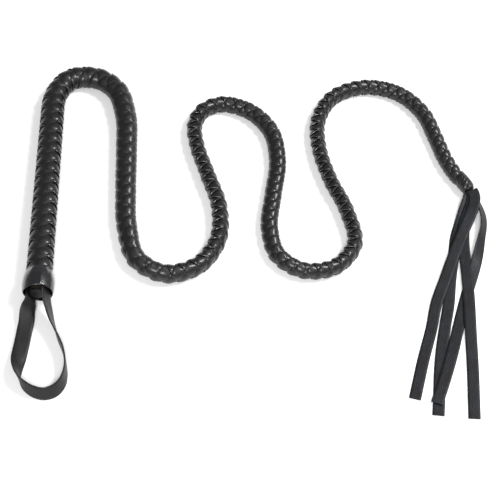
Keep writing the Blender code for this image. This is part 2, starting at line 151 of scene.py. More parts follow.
# --- finishes ---
@dataclass(frozen=True)
class Leather:
    """Chrome-tanned cowhide: pigmented black, embossed with a fine pebble grain.

    The pigment hides most of the hide's colour. The gloss comes from the clear
    top coat, which is thicker on glazed leather than on a plain strap, and the
    pebbles break it into small glints.
    """

    name: str
    colour: str  # the pigment
    rubbed: str  # where handling has polished or greyed it
    roughness: float
    coat: float
    coat_roughness: float
    specular: float = 0.5  # under a half where wax or dust dulls the surface
    pebble_mm: float = 1.1  # across one pebble of the grain; real ones are nearer 0.6
    pebble_depth_mm: float = 0.10
    crease_mm: float = 9.0  # between the soft creases that bending leaves
    crease_depth_mm: float = 0.25
    wear_mm: float = 14.0  # across one rubbed patch

    def make(self) -> bpy.types.Material:
        """Build the material and return it."""
        material, tree, shader = blank_material(self.name)
        place = node(tree, "ShaderNodeTexCoord").outputs["Object"]
        wear = noise(tree, place, self.wear_mm, Detail=4.0, Roughness=0.6)
        share = node(
            tree,
            "ShaderNodeMapRange",
            {"From Min": 0.40, "From Max": 0.75},
            {"Value": wear},
        )
        tint(tree, shader, share.outputs["Result"], self.colour, self.rubbed)
        fine = noise(tree, place, self.pebble_mm * 1.6, Detail=3.0, Roughness=0.65)
        rough = node(
            tree,
            "ShaderNodeMapRange",
            {
                "From Min": 0.25,
                "From Max": 0.75,
                "To Min": self.roughness - 0.09,
                "To Max": self.roughness + 0.11,
            },
            {"Value": fine},
        )
        tree.links.new(rough.outputs["Result"], shader.inputs["Roughness"])

        pebbles = node(
            tree,
            "ShaderNodeTexVoronoi",
            {"feature": "DISTANCE_TO_EDGE", "Scale": 1 / (self.pebble_mm * MM), "Randomness": 0.95},
            {"Vector": place},
        )
        dome = node(
            tree,
            "ShaderNodeMapRange",
            {"From Min": 0.0, "From Max": 0.28, "interpolation_type": "SMOOTHSTEP"},
            {"Value": pebbles.outputs["Distance"]},
        )
        crease = noise(tree, place, self.crease_mm, Detail=2.0, Distortion=0.8)
        broad = node(
            tree,
            "ShaderNodeBump",
            {"Strength": 0.55, "Distance": self.crease_depth_mm * MM},
            {"Height": crease},
        )
        ripple = node(
            tree,
            "ShaderNodeBump",
            {"Strength": 0.6, "Distance": self.pebble_depth_mm * 0.8 * MM},
            {"Height": fine, "Normal": broad.outputs["Normal"]},
        )
        grain = node(
            tree,
            "ShaderNodeBump",
            {"Strength": 0.8, "Distance": self.pebble_depth_mm * MM},
            {"Height": dome.outputs["Result"], "Normal": ripple.outputs["Normal"]},
        )
        tree.links.new(grain.outputs["Normal"], shader.inputs["Normal"])
        tree.links.new(broad.outputs["Normal"], shader.inputs["Coat Normal"])
        shader.inputs["IOR"].default_value = 1.45
        shader.inputs["Specular IOR Level"].default_value = self.specular
        shader.inputs["Coat Weight"].default_value = self.coat
        shader.inputs["Coat Roughness"].default_value = self.coat_roughness
        shader.inputs["Coat IOR"].default_value = 1.5
        return material


@dataclass(frozen=True)
class TwistedCord:
    """Spun cotton or waxed thread: dull fibre with a fine diagonal twist."""

    name: str
    colour: str
    # the colour of the twist's grooves, a painted shade
    groove_shade: str
    lay_mm: float  # from one twist of the yarn to the next, along an axis
    ridge_mm: float  # how high the yarn stands
    roughness: float = 0.88

    def make(self) -> bpy.types.Material:
        """Build the material and return it."""
        material, tree, shader = blank_material(self.name)
        place = node(tree, "ShaderNodeTexCoord").outputs["Object"]
        # diagonal bands repeat along an axis after 2 pi / 10 of a scaled unit
        scale = 2 * math.pi / 10 / (self.lay_mm * MM)
        twist = node(
            tree,
            "ShaderNodeTexWave",
            {"bands_direction": "DIAGONAL", "Scale": scale, "Distortion": 1.5},
            {"Vector": place},
        )
        # the grooves, low in the bump below, take the darker colour as painted shade; the ridges take the
        # plain colour
        tint(tree, shader, twist.outputs["Fac"], self.groove_shade, self.colour)
        bump = node(
            tree,
            "ShaderNodeBump",
            {"Strength": 0.7, "Distance": self.ridge_mm * MM},
            {"Height": twist.outputs["Fac"]},
        )
        tree.links.new(bump.outputs["Normal"], shader.inputs["Normal"])
        shader.inputs["Roughness"].default_value = self.roughness
        return material


@dataclass(frozen=True)
class StainedBeech:
    """Turned beech stained black: near-black brown, with short flecks along the grain."""

    name: str = "black_stained_beech"
    colour: str = "221b17"
    fleck: str = "130f0d"
    fleck_mm: float = 1.4

    def make(self) -> bpy.types.Material:
        """Build the material and return it."""
        material, tree, shader = blank_material(self.name)
        place = node(tree, "ShaderNodeTexCoord").outputs["Object"]
        along = node(tree, "ShaderNodeMapping", {"Scale": (1.0, 0.08, 1.0)}, {"Vector": place})
        flecks = noise(tree, along.outputs["Vector"], self.fleck_mm, Detail=3.0)
        tint(tree, shader, flecks, self.colour, self.fleck)
        shader.inputs["Roughness"].default_value = 0.62
        return material


@dataclass(frozen=True)
class BrightSteel:
    """Drawn steel wire of a tack: bright, with fine drawing lines."""

    name: str = "bright_steel"
    colour: str = "b4b4b8"
    line_mm: float = 0.12

    def make(self) -> bpy.types.Material:
        """Build the material and return it."""
        material, tree, shader = blank_material(self.name)
        place = node(tree, "ShaderNodeTexCoord").outputs["Object"]
        lines = noise(tree, place, self.line_mm)
        rough = node(tree, "ShaderNodeMapRange", {"To Min": 0.22, "To Max": 0.42}, {"Value": lines})
        tree.links.new(rough.outputs["Result"], shader.inputs["Roughness"])
        shader.inputs["Base Color"].default_value = linear(self.colour)
        shader.inputs["Metallic"].default_value = 1.0
        return material


class Hide(Enum):
    """The leathers of the whip, each cut and dressed for its job."""

    PLAIT = Leather("plaiting_leather", "070709", "101012", 0.42, 0.34, 0.15, specular=0.40)
    # its cut edges towards the butt, in a lighter grey: partly the grey of the leather's fibres, partly
    # painted highlight for the glints along these raised edges
    CUT_EDGE_GLINT = Leather("strip_edge_painted_glint", "2a2a2d", "5a5a5e", 0.34, 0.5, 0.15, pebble_mm=2.0)
    TAIL = Leather(
        "tail_leather",
        "08090c",
        "14171f",
        0.52,
        0.05,
        0.34,
        specular=0.30,
        pebble_mm=1.6,
        pebble_depth_mm=0.16,
    )
    STRAP = Leather(
        "wrist_strap_leather", "0c0c0e", "17171a", 0.50, 0.10, 0.30, specular=0.40, pebble_mm=1.0
    )
    GLAZED = Leather(
        "glazed_cap_leather",
        "08080b",
        "0f0f14",
        0.36,
        0.75,
        0.12,
        pebble_mm=1.3,
        pebble_depth_mm=0.05,
        crease_mm=5.0,
        crease_depth_mm=0.55,
    )


# --- routes and meshes ---
def smooth_route(points: np.ndarray | tuple[tuple, ...], start_heading: tuple | None = None) -> np.ndarray:
    """Pass a smooth curve through a route's own points.

    Args:
        points: The route's points, with any further values that change along it.
        start_heading: The slope at the first point, where it isn't left free.

    Returns:
        Points no more than about two millimetres apart.
    """
    given = np.array(points, float)
    chord = np.linalg.norm(np.diff(given[:, :3], axis=0), axis=1)
    at = np.concatenate(([0.0], np.cumsum(chord)))
    slope = np.gradient(given, at, axis=0)
    if start_heading is not None:
        slope[0] = start_heading
    steps = 24  # from one given point to the next
    fine = []
    for i, length in enumerate(chord):
        for t in np.linspace(0.0, 1.0, steps, endpoint=False):
            fine.append(
                (2 * t**3 - 3 * t**2 + 1) * given[i]
                + (t**3 - 2 * t**2 + t) * length * slope[i]
                + (3 * t**2 - 2 * t**3) * given[i + 1]
                + (t**3 - t**2) * length * slope[i + 1]
            )
    fine.append(given[-1])
    return np.array(fine)


def distances(line: np.ndarray) -> np.ndarray:
    """Distance of each point of a line from its start."""
    return np.concatenate(([0.0], np.cumsum(np.linalg.norm(np.diff(line[:, :3], axis=0), axis=1))))


def resample(line: np.ndarray, at: np.ndarray) -> np.ndarray:
    """Points of a line at given distances from its start."""
    along = distances(line)
    return np.column_stack([np.interp(at, along, column) for column in line.T])


def add_piece(mesh: bpy.types.Mesh) -> bpy.types.Object:
    """Put a mesh in the scene as a piece of the same name, shaded smooth."""
    mesh.shade_smooth()
    piece = bpy.data.objects.new(mesh.name, mesh)
    bpy.context.scene.collection.objects.link(piece)
    return piece


def new_piece(name: str, points: np.ndarray, faces: list[tuple]) -> bpy.types.Object:
    """Make a piece from its points and faces.

    Args:
        name: The piece's name.
        points: Its vertices.
        faces: Its faces, as tuples of vertex numbers.

    Returns:
        The new piece.
    """
    mesh = bpy.data.meshes.new(name)
    mesh.from_pydata([tuple(p) for p in points], [], faces)
    return add_piece(mesh)


def tube_faces(rings: int, sides: int, caps: bool = True) -> list[tuple]:
    """Faces that join rings of points into a tube.

    Args:
        rings: How many rings there are.
        sides: How many points each ring has.
        caps: Whether the two ends are closed.

    Returns:
        The faces, pointing out where the rings run anticlockwise seen from the far end.
    """
    faces = []
    for i in range(rings - 1):
        for k in range(sides):
            a, b = i * sides + k, i * sides + (k + 1) % sides
            faces.append((a, b, b + sides, a + sides))
    if caps:
        faces.append(tuple(reversed(range(sides))))
        last = (rings - 1) * sides
        faces.append(tuple(range(last, last + sides)))
    return faces


def dress(
    piece: bpy.types.Object,
    material: bpy.types.Material,
    sharp_degrees: float = 50.0,
    edge: bpy.types.Material | None = None,
) -> bpy.types.Object:
    """Give a piece its finish, and its cut edges theirs where they have their own.

    Args:
        piece: The piece.
        material: Its finish.
        sharp_degrees: Edges that turn more than this stay sharp.
        edge: The lighter finish of its cut edges towards the butt, partly painted highlight, where they have
            their own.

    Returns:
        The same piece.
    """
    keep = [f.material_index for f in piece.data.polygons]
    piece.data.materials.clear()
    piece.data.materials.append(material)
    if edge is not None:
        piece.data.materials.append(edge)
        piece.data.polygons.foreach_set("material_index", keep)
    piece.data.set_sharp_from_angle(angle=math.radians(sharp_degrees))
    return piece


@dataclass
class Ribbon:
    """A flat strip of leather with rounded edges, laid along a route.

    Sizes are in metres. A lean of zero lies flat, face up, and ninety degrees
    stands on edge.
    """

    width: float
    thickness: float
    edge_round: float = 0.55  # how much of the thickness the rounded edge takes

    def section(self) -> np.ndarray:
        """The cross-section as (across, up) points, anticlockwise."""
        half, up = self.width / 2, self.thickness / 2
        cut = self.thickness * self.edge_round
        across = np.array([half - cut, half * 0.6, half * 0.2, -half * 0.2, -half * 0.6, -(half - cut)])
        top = [(half, -up * 0.35), (half, up * 0.35), *((x, up) for x in across)]
        low = [(-half, up * 0.35), (-half, -up * 0.35), *((-x, -up) for x in across)]
        return np.array(top + low)

    def build(self, name: str, line: np.ndarray, leans: np.ndarray) -> bpy.types.Object:
        """Lay the strip along a line.

        Args:
            name: The piece's name.
            line: The middle of the strip.
            leans: How far it leans at each point, in radians.

        Returns:
            The strip as a closed mesh.
        """
        ring = self.section()
        tangent = np.gradient(line, axis=0)
        tangent /= np.linalg.norm(tangent, axis=1)[:, None]
        side = np.cross(tangent, (0.0, 0.0, 1.0))
        side /= np.linalg.norm(side, axis=1)[:, None]
        above = np.cross(side, tangent)
        turn_side = side * np.cos(leans)[:, None] + above * np.sin(leans)[:, None]
        turn_up = above * np.cos(leans)[:, None] - side * np.sin(leans)[:, None]
        points = (
            line[:, None, :]
            + turn_side[:, None, :] * ring[None, :, :1]
            + turn_up[:, None, :] * ring[None, :, 1:]
        )
        faces = tube_faces(len(line), len(ring))
        return new_piece(name, points.reshape(-1, 3), [tuple(reversed(f)) for f in faces])


# --- the thong's route, handle and all ---
@dataclass
class WhipLine:
    """The middle line of the handle and thong, and the thickness along it."""

    handle_length: float = 0.236
    mouth_height: float = 0.015773  # the butt's middle, which its cap holds off the floor
    knot_at: float = 1.3883
    # the thong's middle as x and y, from the handle's end to the knot
    route: tuple[tuple[float, float], ...] = (
        (-0.004, 0.17), (-0.0019, 0.1914), (0.0115, 0.2134), (0.0428, 0.2156), (0.0632, 0.2),
        (0.0748, 0.166), (0.0777, 0.115), (0.0785, 0.065), (0.0815, 0.0145), (0.0928, -0.0238),
        (0.122, -0.0413), (0.1543, -0.0317), (0.1738, -0.0034), (0.1762, 0.041), (0.164, 0.084),
        (0.152, 0.1265), (0.15, 0.1495), (0.1585, 0.1697), (0.1771, 0.1788), (0.2058, 0.1712),
        (0.2304, 0.1445), (0.2384, 0.101), (0.2328, 0.057), (0.228, 0.012), (0.2356, -0.0198),
        (0.2612, -0.0387), (0.293, -0.0347), (0.3136, -0.0102), (0.3087, 0.034), (0.293, 0.076),
        (0.283, 0.12), (0.2836, 0.154), (0.301, 0.187), (0.3364, 0.2013), (0.3727, 0.192), (0.3967, 0.166),
        (0.409, 0.129), (0.417, 0.1), (0.4245, 0.0825), (0.43, 0.0735),
    )
    # outside diameter at distances from the handle's end
    taper: tuple[tuple[float, float], ...] = (
        (-0.2125, 0.0236), (0.00, 0.0220), (0.07, 0.0206), (0.20, 0.0192), (0.30, 0.0180), (0.40, 0.0166),
        (0.55, 0.0152), (1.15, 0.0146), (1.40, 0.0132),
    )

    def __post_init__(self) -> None:
        """Work out the line once."""
        flat = smooth_route(self.route, start_heading=(0.0, 1.0))
        along = distances(flat)
        self.thong = np.column_stack((flat, [self.radius(s) for s in along]))
        self.along = along
        first = self.thong[0]
        drop = self.mouth_height - first[2]
        back = math.sqrt(self.handle_length**2 - drop**2)
        self.butt = np.array([first[0], first[1] - back, self.mouth_height])

    def radius(self, distance: float) -> float:
        """Outside radius at a distance from the handle's end."""
        at, wide = zip(*self.taper)
        return float(np.interp(distance, at, wide)) / 2

    def points(self, at: np.ndarray) -> np.ndarray:
        """Points of the middle line at distances from the handle's end, negative on the handle."""
        at = np.asarray(at, float)
        thong = np.column_stack([np.interp(at, self.along, column) for column in self.thong.T])
        share = np.clip(-at / self.handle_length, 0.0, 2.0)[:, None]
        handle = self.thong[0] + share * (self.butt - self.thong[0])
        return np.where(at[:, None] < 0.0, handle, thong)

    def frames(self, at: np.ndarray) -> tuple[np.ndarray, np.ndarray, np.ndarray]:
        """Points and level right-hand and upward directions at distances along the line."""
        step = 0.0015  # half of the length that a direction is measured over
        at = np.asarray(at, float)
        ahead = np.minimum(at + step, self.along[-1])
        tangent = self.points(ahead) - self.points(ahead - 2 * step)
        tangent /= np.linalg.norm(tangent, axis=1)[:, None]
        right = np.cross(tangent, (0.0, 0.0, 1.0))
        right /= np.linalg.norm(right, axis=1)[:, None]
        return self.points(at), right, np.cross(right, tangent)

    def bend(self, straight: np.ndarray) -> np.ndarray:
        """Lay points of a straight piece along the line.

        Args:
            straight: Points as (right, up, distance along).

        Returns:
            The points in the row frame.
        """
        at = straight[:, 2]
        step = 0.001
        fine = np.arange(at.min() - step, at.max() + 2 * step, step)
        table = np.column_stack(self.frames(fine))
        here = np.column_stack([np.interp(at, fine, column) for column in table.T])
        return here[:, :3] + here[:, 3:6] * straight[:, :1] + here[:, 6:] * straight[:, 1:2]


# --- the plait ---
@dataclass
class FourStripPlait:
    """Four flat strips plaited round a core, two winding each way.

    Each strip goes over one and under one. Every tile that shows is a stretch of
    one strip, and its edge towards the butt stands proud of the next, like a
    scale. The plait is made straight, cut square and then laid along the line.
    """

    line: WhipLine
    thickness: float = 0.0014
    crossing: float = 0.00058  # how far a strip rises and dips at its crossings
    tilt: float = 0.00125  # how far the edge towards the butt stands proud
    crown: float = 0.00015  # how far the middle of a strip stands out past its edges
    square: float = 2.2  # how suddenly a strip changes from over to under
    cover: float = 1.015  # the strips' width, as a share of what covers the surface
    swell: float = 0.0001  # how far the strips lie outside the line's own thickness
    steps: int = 9  # points of a strip from one crossing to the next
    spare: float = 0.012  # how far a strip runs on past its cuts, at both ends
    # these faces take the lighter edge finish: partly the fibres' grey, partly painted highlight
    edge_glint_faces: tuple[int, int] = (11, 0)  # the faces round a strip that are its edge towards the butt
    # distance from one tile to the next in a column, at distances along the line
    pitches: tuple[tuple[float, float], ...] = (
        (-0.22, 0.0137), (0.00, 0.0135), (0.25, 0.0136), (0.45, 0.0124), (0.70, 0.0116), (1.00, 0.0112),
        (1.35, 0.0108),
    )
    # where the first of two raised seams lies round the plait, in degrees up from the right
    seams: tuple[tuple[float, float], ...] = (
        (-0.22, 180.0), (0.03, 180.0), (0.07, 155.0), (0.12, 180.0), (0.28, 178.0), (0.36, 100.0),
        (0.45, 116.0), (0.57, 112.0), (0.63, 100.0), (0.71, 170.0), (0.83, 180.0), (0.91, 96.0),
        (1.00, 118.0), (1.12, 122.0), (1.21, 102.0), (1.30, 170.0), (1.40, 182.0),
    )

    def __post_init__(self) -> None:
        """Wind up the turns along the line once."""
        step = 0.0005
        self.fine = np.arange(-0.28, self.line.knot_at + 0.06, step)  # past both ends of the plait
        at, pitch = zip(*self.pitches)
        rate = math.pi / np.interp(self.fine, at, pitch)
        self.turns = np.concatenate(([0.0], np.cumsum((rate[1:] + rate[:-1]) / 2 * step)))
        self.rate = rate

    def seam(self, at: np.ndarray) -> np.ndarray:
        """Where a raised seam is, in radians, less half of the column beside it."""
        where, degrees = zip(*self.seams)
        return np.radians(np.interp(at, where, degrees)) - math.pi / 4

    def strip(self, number: int, start: float, end: float) -> np.ndarray:
        """One strip's rings in straight coordinates, a little longer than asked.

        Args:
            number: Which strip: 0 and 1 wind to the right, 2 and 3 to the left.
            start: Where the piece starts.
            end: Where it ends.

        Returns:
            An array of rings, ring points and (right, up, distance along).
        """
        way = 1.0 if number < 2 else -1.0
        offset = math.pi * (number % 2)
        phases = np.interp([start - self.spare, end + self.spare], self.fine, self.turns)
        count = int((phases[1] - phases[0]) / (math.pi / 2) * self.steps)
        phase = np.linspace(*phases, count)
        middle = np.interp(phase, self.turns, self.fine)
        outside = np.array([self.line.radius(s) for s in middle])
        bed = outside + self.swell - self.thickness / 2
        helix = np.arctan(bed * np.interp(middle, self.fine, self.rate))
        width = math.pi * bed * np.cos(helix) * self.cover
        # around the section: outer face from the butt side to the thong side, then back inside
        across = np.array([-1.0, -0.93, -0.7, -0.35, 0.0, 0.35, 0.7, 0.93, 1.0, 0.9, 0.0, -0.9])
        level = np.array([0.1, 0.42, 0.5, 0.5, 0.5, 0.5, 0.5, 0.42, 0.0, -0.5, -0.5, -0.5])
        v = across[None, :] * width[:, None] / 2
        at = middle[:, None] + v * np.sin(helix)[:, None]
        around = (
            way * phase[:, None]
            + offset
            + self.seam(middle)[:, None]
            - way * v * np.cos(helix)[:, None] / bed[:, None]
        )
        wound = np.interp(at, self.fine, self.turns)
        plain = around - self.seam(at)
        crossed = plain + wound - offset if way > 0 else plain - wound - offset
        over = np.cos(crossed) * way
        over = np.tanh(self.square * over) / math.tanh(self.square)
        shown = 0.5 + 0.5 * over
        rise = (
            self.crossing * over
            - self.tilt * across[None, :] * shown
            + self.crown * (1 - across[None, :] ** 2) * shown
        )
        radius = bed[:, None] + rise + level[None, :] * self.thickness
        return np.stack((radius * np.cos(around), radius * np.sin(around), at), axis=2)

    def build(self, name: str, start: float, end: float) -> bpy.types.Object:
        """Plait one piece.

        Args:
            name: The piece's name.
            start: Where it starts, as a distance from the handle's end.
            end: Where it ends.

        Returns:
            The four strips as one mesh, cut square at both ends.
        """
        shape = bmesh.new()
        for number in range(4):
            rings = self.strip(number, start, end)
            points = [shape.verts.new(p) for p in rings.reshape(-1, 3)]
            sides = rings.shape[1]
            for k, face in enumerate(tube_faces(len(rings), sides)):
                order = face if number < 2 else tuple(reversed(face))
                made = shape.faces.new([points[i] for i in order])
                # the edge faces towards the butt get the second, lighter finish, partly painted highlight
                made.material_index = int(k % sides in self.edge_glint_faces and k < (len(rings) - 1) * sides)
        for place, side in ((start, -1.0), (end, 1.0)):
            parts = shape.verts[:] + shape.edges[:] + shape.faces[:]
            cut = bmesh.ops.bisect_plane(
                shape,
                geom=parts,
                plane_co=(0.0, 0.0, place),
                plane_no=(0.0, 0.0, side),
                clear_outer=True,
            )
            edges = [e for e in cut["geom_cut"] if isinstance(e, bmesh.types.BMEdge)]
            bmesh.ops.holes_fill(shape, edges=edges, sides=0)
        bmesh.ops.recalc_face_normals(shape, faces=shape.faces[:])
        mesh = bpy.data.meshes.new(name)
        shape.to_mesh(mesh)
        shape.free()
        straight = np.array([v.co for v in mesh.vertices], float).reshape(-1, 3)
        laid = self.line.bend(straight)
        laid[:, 2] = np.maximum(laid[:, 2], ABOVE_FLOOR)  # its weight flattens it on the floor
        mesh.vertices.foreach_set("co", laid.astype(np.float32).ravel())
        return add_piece(mesh)


@dataclass(frozen=True)
class Stretch:
    """A stretch of thong that is one piece, and how it follows the bodies.

    With a next body it stays fixed where it lies and does not bend from the first body at from_point to the
    next at to_point.
    """

    name: str
    start: float
    end: float
    body: str
    next_body: str = ""
    from_point: tuple[float, float, float] = (0.0, 0.0, 0.0)
    to_point: tuple[float, float, float] = (0.0, 0.0, 0.0)
    replaced: str = ""


@dataclass
class Thong:
    """The soft plaited thong, in stretches that meet where the whip flexes."""

    line: WhipLine
    plait: FourStripPlait
    path_points: int = 90
    tip_bend: float = 0.026  # how far before the knot the tip can turn with it
    stretches: tuple[Stretch, ...] = (
        Stretch(
            "thong_bend_1", COVER_END, 0.142, "handle", "thong_1", (-0.0087, 0.1728, 0), (0.0033, 0.1888, 0)
        ),
        Stretch("thong_leg_1", 0.142, 0.277, "thong_1", replaced="thong_plait_1"),
        Stretch(
            "thong_bend_2", 0.277, 0.535, "thong_1", "thong_2", (0.105, 0, 0), (0.145, 0, 0), "thong_plait_2"
        ),
        Stretch(
            "thong_bend_3", 0.535, 0.776, "thong_2", "thong_3", (0.172, 0, 0), (0.195, 0, 0), "thong_plait_3"
        ),
        Stretch(
            "thong_bend_4", 0.776, 1.016, "thong_3", "thong_4", (0.254, 0, 0), (0.288, 0, 0), "thong_plait_4"
        ),
        Stretch(
            "thong_bend_5", 1.016, 1.299, "thong_4", "thong_5", (0.325, 0, 0), (0.357, 0, 0), "thong_plait_5"
        ),
        Stretch("thong_tip", 1.299, 1.3898, "thong_5", "tassel"),
    )

    def build(self, leather: bpy.types.Material, edge: bpy.types.Material) -> None:
        for stretch in self.stretches:
            piece = self.plait.build(stretch.name, stretch.start, stretch.end)
            dress(piece, leather, edge=edge)
            path = self.line.points(np.linspace(stretch.start, stretch.end, self.path_points))
            middle = (stretch.start + stretch.end) / 2
            2 * self.line.radius(middle)
            self.hang(piece, stretch)
            if stretch.replaced:
                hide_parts(stretch.replaced)
            log.info("%s: %.3f m of plait", piece.name, stretch.end - stretch.start)

    def hang(self, piece: bpy.types.Object, stretch: Stretch) -> None:
        """Make a stretch follow its body or, where it lies between two, fix it where it lies."""
        if not stretch.next_body:
            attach(piece, stretch.body)
            return
        start, end = stretch.from_point, stretch.to_point
        if stretch.next_body == "tassel":
            knot_at = self.line.knot_at
            start, end = self.line.points(np.array([knot_at - self.tip_bend, knot_at]))
        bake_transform(piece)


# --- handle ---
@dataclass
class Handle:
    """The stiff handle: plaited cover, glazed leather cap and closed butt."""

    line: WhipLine
    plait: FourStripPlait
    cap_length: float = 0.0248
    wall: float = 0.0013
    tucked: float = 0.003  # how far the plait reaches into the cap's neck
    # outer radius at shares of the cap's length, from the mouth to the neck
    profile: tuple[tuple[float, float], ...] = (
        (0.00, 0.0153), (0.08, 0.0157), (0.22, 0.0160), (0.38, 0.0161), (0.52, 0.0158), (0.66, 0.0152),
        (0.80, 0.0143), (0.91, 0.0133), (0.97, 0.0127), (1.00, 0.0122),
    )
    seam_degrees: float = 74.0  # up from the right
    seam_height: float = 0.00085
    seam_spread: float = 0.060  # in radians
    # beside the seam: depth of a dent, and its middle and spread in radians from the seam
    dents: tuple[tuple[float, float, float], ...] = ((0.00040, 0.42, 0.26), (0.00045, -0.40, 0.22))
    # at the neck: height of the gathers, how many go round, and the angle they start at
    gathers: tuple[tuple[float, int, float], ...] = ((0.00026, 7, 0.8), (0.00016, 13, 2.1))
    mouth_wave: float = 0.0006  # how far the mouth is from being cut square
    around: int = 96
    along: int = 40
    rim_steps: int = 6
    inside_rows: int = 14

    def build_plait(self, leather: bpy.types.Material, edge: bpy.types.Material) -> None:
        """The plait from under the cap to where the thong begins."""
        start = -self.line.handle_length + self.cap_length - self.tucked
        piece = dress(self.plait.build("handle_cover", start, COVER_END), leather, edge=edge)
        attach(piece, "handle")
        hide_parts("handle_plait")
        log.info("%s built", piece.name)

    def cap_shape(self, share: np.ndarray, angle: np.ndarray) -> np.ndarray:
        """Outer radius of the cap: a bell, drawn in at the neck, with a seam and gathers.

        Args:
            share: Position from the mouth, 0, to the neck, 1.
            angle: Angle round the cap, up from the right.

        Returns:
            The radius in metres.
        """
        at, radii = zip(*self.profile)
        radius = np.interp(share, at, radii)
        from_seam = (angle - math.radians(self.seam_degrees) + math.pi) % (2 * math.pi) - math.pi
        ridge = self.seam_height * np.exp(-((from_seam / self.seam_spread) ** 2))
        radius = radius + ridge * (1.0 - 0.5 * share)
        for depth, middle, spread in self.dents:
            dent = depth * np.exp(-(((from_seam - middle) / spread) ** 2))
            radius = radius - dent * np.sin(math.pi * share)
        near_neck = np.clip((share - 0.35) / 0.5, 0.0, 1.0)
        for height, count, first in self.gathers:
            radius = radius + height * np.sin(count * angle + first) * near_neck
        return radius

    def build_cap(self, glazed: bpy.types.Material) -> None:
        """The glazed sleeve over the butt, with a rolled rim at its mouth."""
        angles = np.linspace(0.0, 2 * math.pi, self.around, endpoint=False)
        rows = []  # radius, share of the length and shift along, from the neck out, down and back in
        for share in np.linspace(1.0, 0.0, self.along):
            rows.append((self.cap_shape(np.full(self.around, share), angles), share, 0.0))
        rim = self.cap_shape(np.zeros(self.around), angles)
        for turn in np.linspace(0.0, math.pi, self.rim_steps + 1)[1:]:
            out = rim - self.wall / 2 + math.cos(turn) * self.wall / 2
            rows.append((out, 0.0, -math.sin(turn) * self.wall * 0.7))
        for share in np.linspace(0.05, 0.95, self.inside_rows):
            rows.append((self.cap_shape(np.full(self.around, share), angles) - self.wall, share, 0.0))
        points = []
        for radius, share, shift in rows:
            dip = self.mouth_wave * np.cos(2 * (angles - 0.9)) * (1 - share)
            at = -self.line.handle_length + self.cap_length * share + shift + dip
            points.append(np.column_stack((radius * np.cos(angles), radius * np.sin(angles), at)))
        straight = np.concatenate(points)
        faces = tube_faces(len(rows), self.around, caps=False)
        last = (len(rows) - 1) * self.around
        for k in range(self.around):
            after = (k + 1) % self.around
            faces.append((last + k, last + after, after, k))
        laid = self.line.bend(straight)
        laid[:, 2] = np.maximum(laid[:, 2], ABOVE_FLOOR)
        piece = new_piece("glazed_cap", laid, faces)
        dress(piece, glazed, 60.0)
        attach(piece, "handle")
        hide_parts("butt_cap")
        log.info("%s built", piece.name)


@dataclass
class WristLoop:
    """The flat strap that is bent into a loop, with both ends held in the cap."""

    line: WhipLine
    width: float = 0.0155
    thickness: float = 0.0016
    points: int = 150
    bend_over: float = 0.038  # past the butt, the length after which the loop can sway all of its way
    # from the middle of the butt face: x, y, height above the floor, lean from standing on edge
    route: tuple[tuple[float, float, float, float], ...] = (
        (-0.0080, 0.0080, 0.0115, -28), (-0.0078, 0.0010, 0.0116, -28), (-0.0076, -0.0075, 0.0116, -34),
        (-0.0104, -0.0150, 0.0080, -60), (-0.0120, -0.0270, 0.0044, -76), (-0.0136, -0.0390, 0.0030, -80),
        (-0.0150, -0.0520, 0.0030, -80), (-0.0166, -0.0660, 0.0040, -70), (-0.0172, -0.0790, 0.0064, -38),
        (-0.0150, -0.0910, 0.0079, -8), (-0.0088, -0.1005, 0.0079, 12), (0.0010, -0.1075, 0.0076, 20),
        (0.0110, -0.1098, 0.0075, 22), (0.0205, -0.1067, 0.0075, 24), (0.0272, -0.0990, 0.0077, 18),
        (0.0300, -0.0880, 0.0079, 8), (0.0296, -0.0760, 0.0080, 0), (0.0262, -0.0610, 0.0080, -3),
        (0.0200, -0.0460, 0.0082, 0), (0.0146, -0.0320, 0.0096, 14), (0.0112, -0.0190, 0.0142, 24),
        (0.0092, -0.0075, 0.0186, 28), (0.0086, 0.0010, 0.0199, 28), (0.0084, 0.0080, 0.0201, 28),
    )
    shift: float = 0.0012  # how much further right than its route the loop lies
    shift_from: float = 0.0075  # past the butt face, where that starts
    shift_over: float = 0.020  # and the length that it takes to reach its full size

    def build(self, leather: bpy.types.Material) -> None:
        """The whole strap, its held ends with it."""
        given = np.array(self.route)
        given[:, 0] += self.shift * np.clip((-given[:, 1] - self.shift_from) / self.shift_over, 0.0, 1.0)
        route = smooth_route(given)
        route = resample(route, np.linspace(0.0, distances(route)[-1], self.points))
        leans = np.radians(route[:, 3])
        half = (self.width * np.cos(leans) + self.thickness * np.abs(np.sin(leans))) / 2
        line = route[:, :3] + (self.line.butt[0], self.line.butt[1], 0.0)
        line[:, 2] = np.maximum(line[:, 2], half)
        strap = Ribbon(self.width, self.thickness, edge_round=0.45)
        piece = strap.build("wrist_loop_strap", line, leans + math.pi / 2)
        dress(piece, leather)
        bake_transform(piece)
        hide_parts("wrist_strap", "strap_end_left", "strap_end_right")
        log.info("%s: %.3f m long", piece.name, distances(line)[-1])


